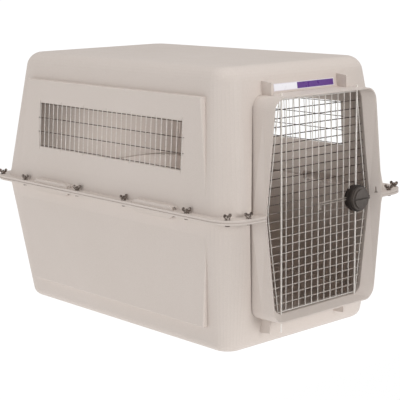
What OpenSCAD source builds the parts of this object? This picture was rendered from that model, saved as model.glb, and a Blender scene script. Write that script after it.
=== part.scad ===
// Two-shell moulded pet kennel with wire side vents and a wire door.
// The door hangs on a rod at the left and is held by two rods that a dial
// drives through a pinion and two racks. Door side is -Y, up is +Z.

/* [Shells] */
// Width across the flanges
flange_w = 824; // [800:2:850]
// Front lip to rear flange edge
length = 1248; // [1220:2:1280]
// Floor to roof
height = 876; // [860:2:900]
// Height of the parting plane
seam_z = 435; // [430:1:440]
// Wall thickness
wall = 4.5; // [4:0.5:5]
// Thickness of each flange
flange_t = 7; // [6:0.5:8]
// Flange overhang at the sides and the back
flange_out = 28; // [26:1:30]
// Front lip ahead of the front wall
front_out = 40; // [38:1:42]
// Lean of the side walls, mm per mm of height
side_draft = 0.134; // [0.12:0.002:0.14]
// Lean of the end walls, mm per mm of height
end_draft = 0.157; // [0.15:0.001:0.16]
// Plan corner radius at the parting plane
corner_r = 90; // [84:1:96]
// Edge radius of the roof
roof_edge_r = 42; // [36:1:46]
// Edge radius of the floor
floor_edge_r = 26; // [22:1:30]

/* [Side panels and vents] */
// Lean of the raised side panels
panel_draft = 0.068; // [0.06:0.002:0.08]
// Top and bottom of the panels, from the parting plane
panel_reach = 354; // [345:1:360]
// Half length of the panels at their top edge
panel_half = 442; // [430:1:450]
// Length of a vent opening
vent_len = 735; // [730:1:740]
// Height of a vent opening
vent_h = 151; // [149:1:153]
// Middle of a vent opening above the parting plane
vent_dz = 202.5; // [198:0.5:206]
// Number of upright wires in a vent
vent_wires = 31; // [21:5:31]
// Radius of the vent wires
vent_wire_r = 1.2; // [1:0.1:1.3]

/* [Door frame] */
// Half width of the lip at the parting plane
lip_half = 267; // [262:1:272]
// Half width of the door opening at the parting plane
throat_half = 240; // [238:1:242]
// Top of the lip above the parting plane
lip_top = 353; // [350:1:356]
// Bottom of the lip below the parting plane
lip_bottom = 335; // [332:1:337]
// Depth of the door opening's throat behind the lip
throat_back = 30; // [28:1:32]

/* [Door] */
// Distance of the hinge rod and the latch rods from the middle
rod_x = 171; // [168:1:174]
// Radius of the rods
rod_r = 3; // [2.5:0.1:3]
// Spacing of the upright door wires
upright_pitch = 29; // [28:0.5:29]
// Spacing of the crosswise door wires
cross_pitch = 26; // [25:0.5:26]
// Radius of the door wires
door_wire_r = 1.5; // [1.2:0.1:1.5]
// Radius of the dial
dial_r = 38; // [36:1:39]

/* [Fasteners] */
// Radius of the flange bolts
bolt_r = 3; // [2.5:0.1:3]
// Reach of a wing nut's wings from its axis
wing_reach = 14.5; // [12:0.5:15]

/* [Hidden] */
$fn = 48;

body_hx = flange_w / 2 - flange_out;
body_hy = (length - front_out - flange_out) / 2;
body_cy = (front_out - flange_out) / 2;
lip_y = -length / 2;
upper_h = height - seam_z;
roof_corner_r = 75;
floor_corner_r = 62;
flange_corner_r = 92;
step_h = 1.2;
step_d = 3;
corner_steps = 10;
edge_steps = 7;
gap = 0.05;
eps = 0.5;

panel_lead = 4;
panel_taper = 0.14;
panel_chamfer = 3;
vent_tilt = atan(panel_draft);
vent_x = body_hx - panel_lead - panel_draft * vent_dz;
vent_long_every = 5;
vent_tip = 9;
vent_row_far = 72;
vent_row_near = 24;
vent_upright_depth = 2;
vent_cross_depth = vent_upright_depth + 2 * vent_wire_r + gap;
vent_pitch = (vent_len - 2 * vent_wire_r - 4) / (vent_wires - 1);

lip_draft = 0.111;
throat_draft = 0.14;
upper_shroud_half = 279;
lower_shroud_half = 285;
shroud_draft = 0.15;
shroud_bend = 44;
groove_w = 9.5;
groove_floor_y = -532;
bend_d = 7;
bend_h = 3;
frame_corner_r = 45;
funnel_t = 4;
sill_rise = 15;
rib_t = 9;
rib_front_y = -565;

rod_y = lip_y + throat_back;
rod_clear = 0.1;
mid_y = rod_y + rod_r + 0.1 + door_wire_r;
cross_y = mid_y + 2 * door_wire_r + gap;
rim_half = 224;
rim_top = 341;
rim_bottom = 311;
rim_side_draft = 0.14;
cross_end_clear = 4;
upright_half_count = 5;
cross_below = 11;
cross_above = 12;
hinge_top = 362;
hinge_bottom = 374;
latch_travel = 13.96;
upper_tip = lip_top - wall - 1.4 + latch_travel;
lower_tip = lip_bottom - sill_rise - 4.8 + latch_travel;

gear_m = 1.25;
gear_teeth = 16;
gear_r = gear_m * gear_teeth / 2;
gear_pressure = 20;
gear_backlash = 0.3;
rack_addendum = 1.05;
rack_back = 6.5;
rack_y0 = rod_y - 7;
rack_y1 = rod_y + 2.8;
rack_foot = -7;
rack_block = 12.6 + latch_travel;
rack_block_h = 8.5;
housing_r = 43;
housing_wall = 2.5;
housing_front = rod_y - 12.5;
axle_r = 6;
back_plate_y = cross_y + door_wire_r + gap;
screw_x = 31;
screw_z = 13;

side_bolt_y = [-420, -122, 122, 420];
corner_bolt = [382, 580];
front_bolt_x = 322;
rear_bolt_x = 150;
grip_y = 265;
grip_len = 190;
grip_out = 404;
grip_h = 20;

bolt_stand = 14;

bolt_spots = concat(
    [for (s = [-1, 1], y = side_bolt_y) [s * (flange_w - flange_out) / 2, y]],
    [for (s = [-1, 1], t = [-1, 1]) [s * corner_bolt[0], t * corner_bolt[1]]],
    [for (s = [-1, 1]) [s * front_bolt_x, lip_y + 17]],
    [for (s = [-1, 1]) [s * rear_bolt_x, -lip_y - flange_out / 2]]);

// ---- outlines ----

// Rounded rectangle in plan at height z, counter-clockwise
function plan_ring(hx, hy, r, z, cy = 0) =
    [for (q = [0:3], i = [0:corner_steps])
        let (a = 90 * (q + i / corner_steps),
            sx = (q == 0 || q == 3) ? 1 : -1,
            sy = q < 2 ? 1 : -1)
        [sx * (hx - r) + r * cos(a), cy + sy * (hy - r) + r * sin(a), z]];

// Wall outline at dz from the parting plane, drawn in by inset
function body_ring(dz, inset, end_r, depth) =
    let (r = corner_r + (end_r - corner_r) * dz / depth)
    plan_ring(body_hx - side_draft * dz - inset,
        body_hy - end_draft * dz - inset, r - inset, dz, body_cy);

// Half of the hexagonal door outline at plane y, with round top corners
function frame_ring(y, half, draft, top, r, base = -eps) =
    let (start = atan(draft),
        cx = half - draft * (top - r) - r / cos(start),
        right = [for (i = [0:corner_steps])
            let (a = start + (90 - start) * i / corner_steps)
            [cx + r * cos(a), y, top - r + r * sin(a)]],
        left = [for (i = [corner_steps:-1:0])
            [-right[i][0], y, right[i][2]]])
    concat([[-half + draft * base, y, base], [half - draft * base, y, base]],
        right, left);

// Outline of the raised side panel at plane x offset from its face
function panel_ring(inset, depth, out) =
    let (x0 = body_hx - panel_lead - depth,
        top = panel_reach - inset + out,
        y1 = panel_half + panel_taper * panel_reach - inset + out,
        y2 = panel_half - inset + out,
        lean = depth > 20 ? side_draft : panel_draft)
    [[x0, -y1, -eps], [x0, y1, -eps],
        [x0 - lean * top, y2, top], [x0 - lean * top, -y2, top]];

// ---- helpers ----

// Closed solid through a list of rings of equal length
module skin(rings) {
    n = len(rings[0]);
    last = len(rings) - 1;
    points = [for (ring = rings) for (p = ring) p];
    sides = [for (j = [0:last - 1], i = [0:n - 1])
        let (a = j * n + i, b = j * n + (i + 1) % n)
        each [[a, b + n, b], [a, a + n, b + n]]];
    caps = [[for (i = [0:n - 1]) i],
        [for (i = [n - 1:-1:0]) last * n + i]];
    polyhedron(points, concat(caps, sides));
}

// Rod along Z
module z_rod(x, y, z0, z1, r) {
    translate([x, y, z0])
        cylinder(h = z1 - z0, r = r);
}

// Rod along X
module x_rod(x0, x1, y, z, r) {
    translate([x0, y, z])
        rotate([0, 90, 0])
            cylinder(h = x1 - x0, r = r);
}

// Disc with its axis along Y, from y0 back to y1
module y_disc(x, z, y0, y1, r) {
    translate([x, y1, z])
        rotate([90, 0, 0])
            cylinder(h = y1 - y0, r = r);
}

// Both sides, mirrored about the middle plane
module both_sides() {
    children();
    mirror([1, 0, 0])
        children();
}

// ---- shell, built upward from the parting plane ----

module body_solid(depth, edge_r, end_r, t, base) {
    e = edge_r - t;
    skin(concat(
        [body_ring(base, t, end_r, depth)],
        [for (k = [0:edge_steps])
            let (a = 90 * k / edge_steps)
            body_ring(depth - edge_r + e * sin(a),
                t + e * (1 - cos(a)), end_r, depth)]));
}

module panel_solid(t) {
    skin([panel_ring(t, 60 + t, 0), panel_ring(t, panel_chamfer + t, 0),
        panel_ring(t + panel_chamfer, t, 0)]);
}

module shroud_solid(top, base_half, t) {
    skin([for (y = [-480, lip_y + shroud_bend])
            frame_ring(y, base_half - t, shroud_draft, top - t,
                frame_corner_r - t),
        frame_ring(lip_y + (t > 0 ? 3 : 0), lip_half - t, lip_draft,
            top - t, frame_corner_r - t)]);
}

// Groove inside the flange, where both walls bend outward
module bend_groove(depth, end_r, top, base_half) {
    t = wall - bend_d;
    difference() {
        skin([body_ring(-eps, t, end_r, depth),
            body_ring(bend_h, t, end_r, depth)]);
        recess_solid(top, base_half, t);
    }
}

// Space in front of the set-back wall around the door frame, grown by t
module recess_solid(top, base_half, t) {
    skin([for (step = [[groove_floor_y + t, 1.5], [body_cy - body_hy, groove_w],
            [lip_y - 30, groove_w + 8]])
        frame_ring(step[0], base_half + step[1] + t, shroud_draft,
            top + step[1] + t, frame_corner_r + step[1] + t)]);
}

// Shell body with the front wall set back around the door frame
module body_with_recess(depth, edge_r, end_r, top, base_half, t, base) {
    difference() {
        body_solid(depth, edge_r, end_r, t, base);
        recess_solid(top, base_half, t);
    }
}

// Funnel from the lip to the door opening, grown by t
module opening_solid(lip_edge, throat_edge, t, y_front, y_back) {
    throat_r = frame_corner_r - 12;
    skin([
        frame_ring(y_back, throat_half + t, throat_draft, throat_edge + t,
            throat_r),
        frame_ring(lip_y + throat_back, throat_half + t, throat_draft,
            throat_edge + t, throat_r),
        frame_ring(y_front, lip_half - 2.5, lip_draft, lip_edge + t,
            frame_corner_r - 4)]);
}

// Flange with a fine step where it meets the other shell
module flange_plate() {
    for (layer = [[step_d, 0, step_h + 0.5], [0, step_h, flange_t]])
        translate([0, 0, layer[1]])
            linear_extrude(layer[2] - layer[1])
                polygon([for (p = plan_ring(flange_w / 2 - layer[0],
                    length / 2 - layer[0], flange_corner_r - layer[0], 0))
                    [p[0], p[1]]]);
}

// Hollow boss over the flange for the hand
module grip_boss(t) {
    x0 = body_hx - 30;
    for (s = [-1, 1])
        translate([0, s * grip_y, 0])
            rotate([90, 0, 90])
                translate([0, 0, x0])
                    linear_extrude(grip_out - t - x0)
                        polygon([
                            [-grip_len / 2 + t, -eps],
                            [grip_len / 2 - t, -eps],
                            [grip_len / 2 - t, grip_h - 8],
                            [grip_len / 2 - 14, grip_h - t],
                            [-grip_len / 2 + 14, grip_h - t],
                            [-grip_len / 2 + t, grip_h - 8]]);
}

// Mouth at the front end of each grip
module grip_holes() {
    for (s = [-1, 1])
        translate([body_hx + 2, s * grip_y - grip_len / 2 - 1, flange_t + 1])
            cube([grip_out - body_hx - 7, 16, 7]);
}

// Ribs that brace the frame's ledge against the front wall
module ledge_ribs(top, left_edges, rib_high) {
    foot_y = body_cy - body_hy + end_draft * top + 2;
    head_y = foot_y + end_draft * rib_high;
    for (x = left_edges)
        translate([x, 0, 0])
            rotate([90, 0, 90])
                linear_extrude(rib_t)
                    polygon([[foot_y, top - 2], [head_y, top + rib_high],
                        [rib_front_y + 2, top + rib_high - 4],
                        [rib_front_y, top + rib_high - 7],
                        [rib_front_y, top - 2]]);
}

module half_shell(depth, edge_r, end_r, top, base_half, lip_edge, throat_edge,
        rib_edges, rib_high) {
    difference() {
        union() {
            difference() {
                union() {
                    body_with_recess(depth, edge_r, end_r, top, base_half, 0,
                        0);
                    shroud_solid(top, base_half, 0);
                    flange_plate();
                    both_sides() {
                        panel_solid(0);
                        grip_boss(0);
                    }
                }
                body_with_recess(depth, edge_r, end_r, top, base_half, wall,
                    -eps);
                shroud_solid(top, base_half, wall);
                bend_groove(depth, end_r, top, base_half);
                both_sides() {
                    panel_solid(wall);
                    grip_boss(wall);
                    grip_holes();
                }
            }
            opening_solid(lip_edge, throat_edge, funnel_t, lip_y,
                lip_y + throat_back + 12);
            ledge_ribs(top, rib_edges, rib_high);
        }
        opening_solid(lip_edge, throat_edge, 0, lip_y - eps, -470);
        translate([-flange_w, -length, -10])
            cube([2 * flange_w, 2 * length, 10]);
        for (p = bolt_spots)
            z_rod(p[0], p[1], -1, flange_t + 1, bolt_r + rod_clear);
    }
}

// Vent frame: origin at the middle of the opening, +X outward
module vent_place() {
    translate([vent_x, 0, seam_z + vent_dz])
        rotate([0, -vent_tilt, 0])
            children();
}

module vent_cut() {
    slot = 2 * vent_wire_r + 0.4;
    cube([40, vent_len, vent_h], center = true);
    for (i = [0:vent_long_every:vent_wires - 1])
        translate([0, vent_y(i), 0])
            cube([2 * (vent_upright_depth + vent_wire_r + 0.2), slot,
                vent_h + 2 * vent_tip], center = true);
    for (s = [-1, 1])
        translate([0, 0, s * vent_row_near])
            cube([40, vent_len + 2 * vent_tip, slot], center = true);
}

function vent_y(i) = (i - (vent_wires - 1) / 2) * vent_pitch;

module upper_shell() {
    color("#cbbfae")
        difference() {
            translate([0, 0, seam_z])
                half_shell(upper_h, roof_edge_r, roof_corner_r, lip_top,
                    upper_shroud_half, lip_top - wall, lip_top - wall, [-184, 154], 42);
            both_sides()
                vent_place()
                    vent_cut();
            both_sides()
                z_rod(rod_x, rod_y, seam_z + lip_top - 20,
                    seam_z + lip_top + 20, rod_r + rod_clear);
            translate([249, lip_y + 12, seam_z + 8]) {
                cube([14, 3, 20]);
                translate([0, -3, 0])
                    cube([14, 9, 3]);
            }
        }
}

module lower_shell() {
    color("#c8bcab")
        difference() {
            translate([0, 0, seam_z])
                mirror([0, 0, 1])
                    half_shell(seam_z, floor_edge_r, floor_corner_r,
                        lip_bottom, lower_shroud_half, lip_bottom - 3,
                        lip_bottom - funnel_t - sill_rise + 1, [-191, 152],
                        51);
            z_rod(-rod_x, rod_y, 50, 130, rod_r + rod_clear);
            z_rod(rod_x, rod_y, 106, 130, rod_r + rod_clear);
        }
}

// ---- vents ----

module vent_uprights() {
    for (i = [0:vent_wires - 1]) {
        tip = i % vent_long_every == 0 ? vent_tip : -gap;
        half = vent_h / 2 + tip;
        z_rod(-vent_upright_depth, vent_y(i), -half, half, vent_wire_r);
    }
}

module vent_crosswires() {
    for (z = [-vent_row_far, -vent_row_near, vent_row_near, vent_row_far]) {
        tip = abs(z) == vent_row_near ? vent_tip : -gap;
        half = vent_len / 2 + tip;
        translate([-vent_cross_depth, half, z])
            rotate([90, 0, 0])
                cylinder(h = 2 * half, r = vent_wire_r);
    }
}

module left_vent_uprights() {
    color("#b9b5ad")
        mirror([1, 0, 0])
            vent_place()
                vent_uprights();
}

module left_vent_crosswires() {
    color("#a9a49b")
        mirror([1, 0, 0])
            vent_place()
                vent_crosswires();
}

module right_vent_uprights() {
    color("#b9b5ad")
        vent_place()
            vent_uprights();
}

module right_vent_crosswires() {
    color("#a9a49b")
        vent_place()
            vent_crosswires();
}

// ---- door ----

module door_uprights() {
    color("#c9c5bd")
        for (i = [-upright_half_count:upright_half_count])
            z_rod(i * upright_pitch, mid_y,
                seam_z - rim_bottom + door_wire_r + gap,
                seam_z + rim_top - door_wire_r - gap, door_wire_r);
}

module door_crosswires() {
    color("#bdb9b1")
        for (k = [-cross_below:cross_above]) {
            half = throat_half - cross_end_clear
                - throat_draft * abs(k) * cross_pitch;
            x_rod(-half, half, cross_y, seam_z + k * cross_pitch,
                door_wire_r);
        }
}

module door_rim() {
    top_x = rim_half - rim_side_draft * rim_top;
    bottom_x = rim_half - rim_side_draft * rim_bottom;
    corners = [[rim_half, 0], [top_x, rim_top], [-top_x, rim_top],
        [-rim_half, 0], [-bottom_x, -rim_bottom], [bottom_x, -rim_bottom]];
    color("#c9c5bd")
        translate([0, mid_y, seam_z])
            for (i = [0:5]) {
                p = corners[i];
                q = corners[(i + 1) % 6];
                d = q - p;
                translate([p[0], 0, p[1]]) {
                    sphere(r = door_wire_r + 0.2);
                    rotate([0, atan2(d[0], d[1]), 0])
                        cylinder(h = norm(d), r = door_wire_r);
                }
            }
}

module hinge_rod() {
    color("#d2cec6")
        z_rod(-rod_x, rod_y, seam_z - hinge_bottom, seam_z + hinge_top,
            rod_r);
}

// Bent double wire beside the latch
module latch_guide_wire() {
    x0 = 2;
    x1 = rod_x - housing_r - 1;
    y = mid_y - 2 * door_wire_r - gap;
    drop = 20;
    color("#d8d5ce")
        translate([0, 0, seam_z + 6]) {
            x_rod(x0, x1, y, 0, door_wire_r);
            x_rod(x0 + 6, x1, y, -7, door_wire_r);
            translate([x0, y, 0])
                sphere(r = door_wire_r);
            z_rod(x0, y, -drop, 0, door_wire_r);
            translate([x0, y, -drop])
                sphere(r = door_wire_r);
            x_rod(x0, x0 + 6, y, -drop, door_wire_r);
            translate([x0 + 6, y, -drop])
                sphere(r = door_wire_r);
            z_rod(x0 + 6, y, -drop, -7, door_wire_r);
            translate([x0 + 6, y, -7])
                sphere(r = door_wire_r);
        }
}

// ---- latch ----

module latch_housing() {
    y1 = mid_y - door_wire_r - gap;
    inner = housing_r - housing_wall;
    color("#3f3832")
        difference() {
            union() {
                difference() {
                    y_disc(rod_x, seam_z, housing_front, y1, housing_r);
                    y_disc(rod_x, seam_z, housing_front + housing_wall,
                        y1 + 1, inner);
                }
                for (s = [-1, 1])
                    y_disc(rod_x + s * screw_x, seam_z - s * screw_z,
                        housing_front + 1, y1, 4.5);
            }
            y_disc(rod_x, seam_z, housing_front - 1, rod_y, axle_r + 0.08);
            z_rod(rod_x, rod_y, seam_z - 60, seam_z - 30, rod_r + rod_clear);
            z_rod(rod_x, rod_y, seam_z + 30, seam_z + 60, rod_r + rod_clear);
            for (s = [-1, 1])
                y_disc(rod_x + s * screw_x, seam_z - s * screw_z,
                    rod_y - 8, y1 + 1, 1.5);
        }
}

module latch_back_plate() {
    color("#3f3832")
        difference() {
            y_disc(rod_x, seam_z, back_plate_y, back_plate_y + 2.5, 40);
            for (s = [-1, 1])
                y_disc(rod_x + s * screw_x, seam_z - s * screw_z,
                    back_plate_y - 1, back_plate_y + 4, 2.1);
            y_disc(rod_x, seam_z, back_plate_y - 1, back_plate_y + 4, 6);
        }
}

module latch_screws() {
    head_y = back_plate_y + 2.5 + gap;
    color("#8d8983")
        for (s = [-1, 1])
            translate([s * screw_x, 0, -s * screw_z])
                difference() {
                    union() {
                        y_disc(rod_x, seam_z, rod_y - 7, head_y + 1, 1.45);
                        y_disc(rod_x, seam_z, head_y, head_y + 2, 3.5);
                    }
                    translate([rod_x - 4, head_y + 1.2, seam_z - 0.4])
                        cube([8, 2, 0.8]);
                }
}

// Grip disc with a raised half, a groove across it and a pointer
module latch_dial() {
    y0 = housing_front - 0.4;
    face = y0 - 10;
    color("#4b443e")
        difference() {
            union() {
                y_disc(rod_x, seam_z, face, y0, dial_r);
                translate([rod_x + dial_r - 8, face, seam_z - 7])
                    cube([9, 10, 14]);
                y_disc(rod_x + dial_r + 1, seam_z, face, y0, 7);
                y_disc(rod_x, seam_z, face - 5, face + 1, dial_r - 7);
                y_disc(rod_x, seam_z, y0 - 1, rod_y - 9.4, axle_r);
                y_disc(rod_x, seam_z, rod_y - 9.5, rod_y + 2, 3.4);
            }
            translate([rod_x - dial_r, face - 6, seam_z - 2])
                cube([2 * dial_r + 20, 8, 4]);
            y_disc(rod_x, seam_z, rod_y - 8, rod_y + 3, 1.3);
        }
}

module dial_screw() {
    head_y = rod_y + 2 + gap;
    color("#8d8983")
        union() {
            y_disc(rod_x, seam_z, rod_y - 7, head_y + 0.5, 1.25);
            y_disc(rod_x, seam_z, head_y, head_y + 2, 5);
        }
}

// Involute tooth flank at radius r: half the tooth angle in degrees
function flank(r) =
    let (base = gear_r * cos(gear_pressure),
        a = r > base ? acos(base / r) : 0,
        inv = (tan(a) - a * PI / 180) * 180 / PI,
        inv0 = tan(gear_pressure) * 180 / PI - gear_pressure,
        half = 90 / gear_teeth - gear_backlash / 2 / gear_r * 180 / PI)
    half + inv0 - inv;

module latch_pinion() {
    tip = gear_r + gear_m;
    root = gear_r - 1.2 * gear_m;
    base = gear_r * cos(gear_pressure);
    radii = [for (i = [0:4]) base + (tip - base) * i / 4];
    tooth = concat([[root, -flank(base)]],
        [for (r = radii) [r, -flank(r)]],
        [for (i = [4:-1:0]) [radii[i], flank(radii[i])]],
        [[root, flank(base)]]);
    color("#c4beb4")
        translate([rod_x, rod_y + 2, seam_z])
            rotate([90, 0, 0])
                difference() {
                    linear_extrude(11)
                        polygon([for (k = [0:gear_teeth - 1], t = tooth)
                            let (a = k * 360 / gear_teeth + t[1])
                            [t[0] * cos(a), t[0] * sin(a)]]);
                    translate([0, 0, -1])
                        cylinder(h = 13, r = 3.42);
                }
}

// Rack beside the pinion with its foot at the bottom and a block that
// holds the rod above the pinion
module rack() {
    pitch = PI * gear_m;
    slope = tan(gear_pressure);
    thick = pitch / 4 - gear_backlash / 4;
    first = ceil(rack_foot / pitch);
    last = floor((rack_block - 1) / pitch) - 1;
    teeth = [for (k = [first:last], q = [0:3])
        let (z = (k + 0.5) * pitch,
            tipped = q == 1 || q == 2,
            lead = tipped ? -rack_addendum * slope : gear_m * slope,
            side = q < 2 ? -1 : 1)
        [-gear_r + (tipped ? rack_addendum : -gear_m),
            z + side * (thick + lead)]];
    difference() {
        translate([rod_x, rack_y1, seam_z])
            rotate([90, 0, 0])
                linear_extrude(rack_y1 - rack_y0)
                    polygon(concat(
                        [[-gear_r - rack_back, rack_foot],
                            [-gear_r - gear_m, rack_foot]],
                        teeth,
                        [[-gear_r - gear_m, rack_block],
                            [6, rack_block],
                            [6, rack_block + rack_block_h],
                            [-gear_r - rack_back, rack_block + rack_block_h]]));
        z_rod(rod_x, rod_y, seam_z + rack_block + 2, seam_z + 60, rod_r);
    }
}

// Half turn about the dial's axis
module turn_over() {
    translate([rod_x, 0, seam_z])
        rotate([0, 180, 0])
            translate([-rod_x, 0, -seam_z])
                children();
}

// Both racks stand at the latched end of their travel
module upper_rack() {
    color("#c4beb4")
        rack();
}

module lower_rack() {
    color("#c4beb4")
        turn_over()
            rack();
}

module upper_latch_rod() {
    color("#d2cec6")
        z_rod(rod_x, rod_y, seam_z + rack_block + 2,
            seam_z + upper_tip, rod_r);
}

module lower_latch_rod() {
    color("#d2cec6")
        z_rod(rod_x, rod_y, seam_z - lower_tip,
            seam_z - rack_block - 2, rod_r);
}

// ---- fasteners and label ----

module flange_bolts() {
    color("#5d544b")
        for (p = bolt_spots) {
            z_rod(p[0], p[1], seam_z - flange_t - gap - 1,
                seam_z + flange_t + bolt_stand, bolt_r);
            z_rod(p[0], p[1], seam_z - flange_t - gap - 5,
                seam_z - flange_t - gap, 7);
        }
}

module bolt_washers() {
    color("#6b6258")
        for (p = bolt_spots)
            translate([p[0], p[1], seam_z + flange_t + gap])
                difference() {
                    cylinder(h = 1.5, r = 8);
                    translate([0, 0, -1])
                        cylinder(h = 4, r = bolt_r + 0.3);
                }
}

module wing_nut() {
    difference() {
        union() {
            cylinder(h = 9, r = 6.5);
            for (s = [0, 180])
                rotate([0, 0, s])
                    translate([0, 1.8, 0])
                        rotate([90, 0, 0])
                            linear_extrude(3.6)
                                union() {
                                    polygon([[3.6, 1], [6.5, 1],
                                        [wing_reach - 0.6, 8],
                                        [wing_reach - 2, 14], [8, 15.5],
                                        [3.6, 8.5]]);
                                    translate([wing_reach - 4.8, 12])
                                        circle(r = 4.8);
                                }
        }
        translate([0, 0, -1])
            cylinder(h = 12, r = bolt_r + 0.05);
        z_rod(0, 0, 8.9, 30, 4.2);
    }
}

module wing_nuts() {
    color("#544b42")
        for (i = [0:len(bolt_spots) - 1])
            translate([bolt_spots[i][0], bolt_spots[i][1],
                seam_z + flange_t + 1.5 + 2 * gap])
                rotate([0, 0, -42 + 38 * sin(100 * i)])
                    wing_nut();
}

module name_label() {
    dz = lip_top + 17.5;
    wall_y = body_cy - body_hy + end_draft * dz;
    color("white")
        translate([0, wall_y, seam_z + dz])
            rotate([-atan(end_draft), 0, 0])
                translate([-135, -1 - gap, -11.75])
                    cube([273, 1, 23.5]);
}

lower_shell();
upper_shell();
left_vent_uprights();
left_vent_crosswires();
right_vent_uprights();
right_vent_crosswires();
door_uprights();
door_crosswires();
door_rim();
hinge_rod();
latch_guide_wire();
latch_housing();
latch_back_plate();
latch_screws();
latch_dial();
latch_pinion();
dial_screw();
upper_latch_rod();
lower_latch_rod();
upper_rack();
lower_rack();
flange_bolts();
bolt_washers();
wing_nuts();
name_label();
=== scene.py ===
"""Moulded kennel with a wire door: its materials, camera, lights and backdrop.

Lengths are in metres and angles in degrees. The front looks along -y, and z is up from the floor.
"""
import math

import bpy
from mathutils import Matrix, Vector


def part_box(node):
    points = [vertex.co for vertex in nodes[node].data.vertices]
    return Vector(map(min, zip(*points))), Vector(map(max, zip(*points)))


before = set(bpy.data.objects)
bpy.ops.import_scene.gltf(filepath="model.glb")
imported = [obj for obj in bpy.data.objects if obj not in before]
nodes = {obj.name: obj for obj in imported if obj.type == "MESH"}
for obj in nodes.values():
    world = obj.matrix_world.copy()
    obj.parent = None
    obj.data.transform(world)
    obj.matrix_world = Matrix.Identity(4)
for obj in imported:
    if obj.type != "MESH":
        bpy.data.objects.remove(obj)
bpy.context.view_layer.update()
scene = bpy.context.scene

# Camera
CAMERA_PLACE = (-2.845, -3.155, 1.188)
CAMERA_YAW = 42.45
CAMERA_PITCH = 10.89
CAMERA_ROLL = -0.62
CAMERA_LENS_MM = 112.5
CAMERA_SENSOR_MM = 36
CAMERA_CLIP_END = 60

# Where noise that lies round 0.5 is cut off when it is spread over a range
NOISE_LOW, NOISE_HIGH = 0.3, 0.7
WIRE_LOW, WIRE_HIGH = 0.28, 0.72

# The door's crosswires carry painted light up to the first height and painted shade from the
# second
LIT_TO_Z = 0.36
SHADED_FROM_Z = 0.47

# Label: where the violet field starts, and both fields' middle and half sizes
VIOLET_FROM_X = -0.031
FIELDS_MIDDLE_X = 0.0015
FIELDS_HALF_WIDTH = 0.1335
FIELDS_HALF_HEIGHT = 0.0095

# Edges
SHARP_ANGLE = 28
BEVEL_ANGLE = 30
BEVEL_WIDTH = 0.0025
BEVEL_SEGMENTS = 2

# Stage
BACKDROP_HALF = 200
WORLD_STRENGTH = 0.5
KENNEL_MIDDLE = (0, 0, 0.45)

# Black cards that the camera doesn't see: one stands upright in front of the near corner and keeps
# sky light off the long side and the front, the other lies before the front and hides bright floor
CARDS = [
    ("dark_card", [(-5.2, -0.7, 0.05), (-1.7, -5.2, 0.05),
                   (-1.7, -5.2, 6.5), (-5.2, -0.7, 6.5)]),
    ("floor_card", [(-0.6, -3.6, 0.003), (1.6, -3.6, 0.003),
                    (1.6, -0.85, 0.003), (-0.6, -0.85, 0.003)]),
]

# Name, place, target, size, power in watts, spread
LAMPS = [
    ("front", (0, -4.6, 1.4), KENNEL_MIDDLE, (1.6, 1.6), 73, 180),
    ("left_front", (-4.5, -0.9, 1.5), KENNEL_MIDDLE, (1.6, 1.6), 33, 180),
    ("left_back", (-4.5, 1.2, 1.5), KENNEL_MIDDLE, (1.6, 1.6), 8, 180),
    ("corner", (-1.7, -1.9, 4.6), KENNEL_MIDDLE, (2.0, 2.0), 14, 180),
    ("top", (0, 0, 5.0), KENNEL_MIDDLE, (3.0, 3.0), 68, 180),
    # These two stand under the roof and light the back and the right wall inside
    ("cabin", (0.08, 0.12, 0.8), (0.16, 0.56, 0.47), (0.5, 0.06), 0.4, 70),
    ("cabin_side", (0.08, -0.16, 0.8), (0.37, -0.16, 0.6), (0.4, 0.06), 0.17, 60),
]


# ---------- camera ----------
def place_camera():
    yaw, pitch, roll = (math.radians(a) for a in (CAMERA_YAW, CAMERA_PITCH, CAMERA_ROLL))
    ahead = Vector((math.sin(yaw) * math.cos(pitch),
                    math.cos(yaw) * math.cos(pitch),
                    -math.sin(pitch)))
    right = Vector((math.cos(yaw), -math.sin(yaw), 0))
    up = right.cross(ahead)
    side = right * math.cos(roll) + up * math.sin(roll)
    top = up * math.cos(roll) - right * math.sin(roll)
    data = bpy.data.cameras.new("camera")
    data.sensor_width = CAMERA_SENSOR_MM
    data.lens = CAMERA_LENS_MM
    data.clip_end = CAMERA_CLIP_END
    cam = bpy.data.objects.new("camera", data)
    scene.collection.objects.link(cam)
    turn = Matrix((side, top, -ahead)).transposed().to_4x4()
    cam.matrix_world = Matrix.Translation(CAMERA_PLACE) @ turn
    scene.camera = cam


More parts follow.
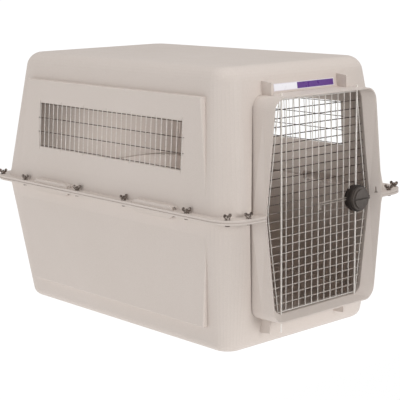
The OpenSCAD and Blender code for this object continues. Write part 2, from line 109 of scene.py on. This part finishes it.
# ---------- node helpers ----------
class Mat:
    """A material and short ways to add nodes to it."""

    def __init__(self, name):
        self.mat = bpy.data.materials.new(name)
        self.mat.use_nodes = True
        self.tree = self.mat.node_tree
        self.bsdf = self.tree.nodes["Principled BSDF"]

    def node(self, kind, **props):
        n = self.tree.nodes.new(kind)
        for key, value in props.items():
            setattr(n, key, value)
        return n

    def feed(self, socket, value):
        """Set a socket to a number or colour, or link another socket to it."""
        if isinstance(value, (int, float)):
            socket.default_value = value
        elif isinstance(value, tuple):
            socket.default_value = (*value, 1)
        else:
            self.tree.links.new(value, socket)

    def coords(self):
        return self.node("ShaderNodeTexCoord").outputs["Object"]

    def noise(self, scale, detail=3.0, rough=0.55):
        n = self.node("ShaderNodeTexNoise")
        n.inputs["Scale"].default_value = scale
        n.inputs["Detail"].default_value = detail
        n.inputs["Roughness"].default_value = rough
        self.feed(n.inputs["Vector"], self.coords())
        return n.outputs["Fac"]

    def ramp(self, fac, stops):
        n = self.node("ShaderNodeValToRGB")
        while len(n.color_ramp.elements) < len(stops):
            n.color_ramp.elements.new(0.5)
        for e, (pos, colour) in zip(n.color_ramp.elements, stops):
            e.position = pos
            e.color = (*colour, 1)
        self.feed(n.inputs["Fac"], fac)
        return n.outputs["Color"]

    def span(self, fac, lo, hi, to_lo, to_hi):
        n = self.node("ShaderNodeMapRange")
        limits = (("From Min", lo), ("From Max", hi), ("To Min", to_lo), ("To Max", to_hi))
        for name, v in limits:
            n.inputs[name].default_value = v
        self.feed(n.inputs["Value"], fac)
        return n.outputs["Result"]

    def mix(self, fac, a, b):
        n = self.node("ShaderNodeMix", data_type="RGBA")
        factor, first, second = n.inputs[0], n.inputs[6], n.inputs[7]
        for socket, v in ((factor, fac), (first, a), (second, b)):
            self.feed(socket, v)
        return n.outputs[2]

    def math(self, op, *values):
        n = self.node("ShaderNodeMath", operation=op)
        for socket, v in zip(n.inputs, values):
            self.feed(socket, v)
        return n.outputs[0]

    def split(self, vector):
        n = self.node("ShaderNodeSeparateXYZ")
        self.feed(n.inputs[0], vector)
        return n.outputs[0], n.outputs[1], n.outputs[2]

    def bump(self, height, distance, strength, normal=None):
        n = self.node("ShaderNodeBump")
        n.inputs["Strength"].default_value = strength
        n.inputs["Distance"].default_value = distance
        self.feed(n.inputs["Height"], height)
        if normal:
            self.feed(n.inputs["Normal"], normal)
        self.feed(self.bsdf.inputs["Normal"], n.outputs["Normal"])
        return n.outputs["Normal"]

    def rough(self, scale, lo, hi, detail=3):
        """Roughness that wanders between two values."""
        fac = self.noise(scale, detail)
        self.set(Roughness=self.span(fac, NOISE_LOW, NOISE_HIGH, lo, hi))

    def set(self, **values):
        for name, v in values.items():
            self.feed(self.bsdf.inputs[name.replace("_", " ")], v)


def srgb(r, g, b):
    return tuple(((c / 255 + 0.055) / 1.055) ** 2.4 for c in (r, g, b))


# ---------- materials ----------
def shell_plastic():
    m = Mat("shell_plastic")
    broad = m.noise(2.2, 4)
    fine = m.noise(900, 2)
    base = m.ramp(broad, [(NOISE_LOW, srgb(209, 198, 189)), (NOISE_HIGH, srgb(215, 204, 196))])
    flecks = m.ramp(fine, [(0.35, srgb(195, 183, 175)),
                           (0.5, srgb(211, 200, 193)),
                           (0.68, srgb(222, 213, 207))])
    m.set(Base_Color=m.mix(0.45, base, flecks))
    m.rough(14, 0.5, 0.62, detail=4)
    m.set(Specular_IOR_Level=0.35)
    grain = m.node("ShaderNodeTexVoronoi", feature="SMOOTH_F1")
    grain.inputs["Scale"].default_value = 620
    m.feed(grain.inputs["Vector"], m.coords())
    grained = m.bump(grain.outputs["Distance"], 0.0004, 0.35)
    m.bump(m.noise(9, 3), 0.003, 0.25, grained)
    return m.mat


def wire_metal(name, low, high, rough, metallic):
    m = Mat(name)
    tone = m.noise(160, 5)
    m.set(Metallic=metallic, Base_Color=m.ramp(tone, [(WIRE_LOW, low), (WIRE_HIGH, high)]))
    m.rough(420, rough - 0.08, rough + 0.08)
    m.bump(m.noise(700, 3), 0.0002, 0.3)
    return m.mat


def crosswire_metal():
    """Zinc wire with painted light low down and painted shade above, blended by height."""
    m = Mat("crosswire_metal")
    tone = m.noise(160, 5)
    shaded_tone = m.ramp(tone, [(WIRE_LOW, srgb(62, 52, 46)), (WIRE_HIGH, srgb(102, 90, 81))])
    lit_tone = m.ramp(tone, [(WIRE_LOW, srgb(176, 166, 157)), (WIRE_HIGH, srgb(214, 206, 198))])
    _, _, z = m.split(m.coords())
    # Painted shade: the crosswires turn dark with height, with painted light low down and painted
    # shade above
    painted_shade = m.span(z, LIT_TO_Z, SHADED_FROM_Z, 0.0, 1.0)
    m.set(Metallic=0.4, Base_Color=m.mix(painted_shade, lit_tone, shaded_tone))
    m.rough(420, 0.36, 0.5)
    m.bump(m.noise(700, 3), 0.0002, 0.3)
    return m.mat


def latch_plastic(name, low, high):
    m = Mat(name)
    m.set(Base_Color=m.ramp(m.noise(60, 4), [(NOISE_LOW, low), (NOISE_HIGH, high)]))
    m.rough(90, 0.4, 0.55)
    m.bump(m.noise(1500, 2), 0.0002, 0.3)
    return m.mat


def gear_plastic():
    m = Mat("gear_plastic")
    stops = [(NOISE_LOW, srgb(212, 208, 196)), (NOISE_HIGH, srgb(226, 222, 212))]
    m.set(Base_Color=m.ramp(m.noise(80, 3), stops))
    m.rough(120, 0.3, 0.42)
    return m.mat


def label_film(label_z):
    """White and violet fields inside a pale border, without print."""
    m = Mat("label_film")
    x, _, z = m.split(m.coords())
    violet = m.math("GREATER_THAN", x, VIOLET_FROM_X)
    field = m.mix(violet, srgb(244, 244, 250), srgb(96, 58, 138))
    off_x = m.math("ABSOLUTE", m.math("SUBTRACT", x, FIELDS_MIDDLE_X))
    off_z = m.math("ABSOLUTE", m.math("SUBTRACT", z, label_z))
    inside = m.math("MULTIPLY",
                    m.math("LESS_THAN", off_x, FIELDS_HALF_WIDTH),
                    m.math("LESS_THAN", off_z, FIELDS_HALF_HEIGHT))
    m.set(Base_Color=m.mix(inside, srgb(226, 220, 226), field))
    m.rough(60, 0.25, 0.36)
    return m.mat


def brown_metal():
    """Fasteners with worn brown plating."""
    m = Mat("brown_metal")
    m.set(Base_Color=m.ramp(m.noise(230, 5, 0.6), [(0.36, srgb(66, 56, 50)),
                                                   (0.52, srgb(112, 99, 91)),
                                                   (0.64, srgb(204, 194, 186))]))
    m.set(Metallic=0.55)
    m.rough(220, 0.35, 0.55)
    m.bump(m.noise(500, 4), 0.0003, 0.4)
    return m.mat


# ---------- surfaces ----------
def smooth(obj):
    obj.data.shade_smooth()
    obj.data.set_sharp_from_angle(angle=math.radians(SHARP_ANGLE))


def bevel(obj):
    """Round the folds a little, and keep the flat faces' shading flat."""
    mod = obj.modifiers.new("edges", "BEVEL")
    mod.width = BEVEL_WIDTH
    mod.segments = BEVEL_SEGMENTS
    mod.limit_method = "ANGLE"
    mod.angle_limit = math.radians(BEVEL_ANGLE)
    mod = obj.modifiers.new("normals", "WEIGHTED_NORMAL")
    mod.keep_sharp = True


def dress(names, mat):
    for n in names:
        nodes[n].data.materials.clear()
        nodes[n].data.materials.append(mat)


# ---------- stage ----------
def add_face(name, corners):
    """One face on the stage, still without a material."""
    mesh = bpy.data.meshes.new(name)
    mesh.from_pydata(corners, [], [(0, 1, 2, 3)])
    obj = bpy.data.objects.new(name, mesh)
    scene.collection.objects.link(obj)
    return obj


def backdrop():
    """A floor that glows white as far as the camera sees, under a weak white sky."""
    s = BACKDROP_HALF
    floor = add_face("floor", [(-s, -s, 0), (s, -s, 0), (s, s, 0), (-s, s, 0)])
    m = Mat("floor")
    m.set(Base_Color=(0.05, 0.05, 0.05), Roughness=0.9, Specular_IOR_Level=0.1)
    m.set(Emission_Color=(1.0, 1.0, 1.0), Emission_Strength=1.0)
    floor.data.materials.append(m.mat)

    world = bpy.data.worlds.new("studio")
    scene.world = world
    world.use_nodes = True
    back = world.node_tree.nodes["Background"]
    back.inputs["Color"].default_value = (1, 1, 1, 1)
    back.inputs["Strength"].default_value = WORLD_STRENGTH


def card(name, corners):
    obj = add_face(name, corners)
    black = Mat(name)
    black.set(Base_Color=(0.01, 0.01, 0.01), Roughness=1.0, Specular_IOR_Level=0.0)
    obj.data.materials.append(black.mat)
    obj.visible_camera = False


def lamp(name, place, target, size, power, spread):
    data = bpy.data.lights.new(name, "AREA")
    data.shape = "RECTANGLE"
    data.size, data.size_y = size
    data.energy = power
    data.spread = math.radians(spread)
    obj = bpy.data.objects.new(name, data)
    obj.location = place
    obj.rotation_euler = (Vector(target) - Vector(place)).to_track_quat("-Z", "Y").to_euler()
    obj.visible_camera = False
    scene.collection.objects.link(obj)


place_camera()

# The bright and the dark wire are lit and shaded copies of one zinc wire: painted light on the
# bright one, painted shade on the dark one
bright = wire_metal("bright_wire", srgb(222, 215, 207), srgb(247, 243, 238), 0.4, 0.25)
shaded = wire_metal("shaded_wire", srgb(70, 59, 52), srgb(112, 100, 91), 0.5, 0.5)
soft = wire_metal("soft_wire", srgb(160, 150, 141), srgb(196, 187, 178), 0.42, 0.4)
label_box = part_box("name_label")

dress(["lower_shell", "upper_shell"], shell_plastic())
dress(["left_vent_uprights", "right_vent_uprights", "door_uprights", "hinge_rod",
       "upper_latch_rod", "lower_latch_rod", "door_rim"], bright)
# Painted shade: the vent crosswires behind the uprights take the dark copy of the wire
dress(["left_vent_crosswires", "right_vent_crosswires"], shaded)
dress(["door_crosswires"], crosswire_metal())
dress(["latch_guide_wire"], soft)
dress(["latch_housing", "latch_back_plate"],
      latch_plastic("dark_plastic", srgb(44, 37, 33), srgb(56, 49, 45)))
dress(["latch_dial"], latch_plastic("dial_plastic", srgb(84, 76, 71), srgb(98, 90, 85)))
dress(["latch_pinion", "upper_rack", "lower_rack"], gear_plastic())
dress(["flange_bolts", "bolt_washers", "wing_nuts", "latch_screws", "dial_screw"],
      brown_metal())
dress(["name_label"], label_film((label_box[0][2] + label_box[1][2]) / 2))
for obj in nodes.values():
    smooth(obj)
for name in ("lower_shell", "upper_shell"):
    bevel(nodes[name])

backdrop()
for row in CARDS:
    card(*row)
for row in LAMPS:
    lamp(*row)
scene.view_settings.view_transform = "Standard"
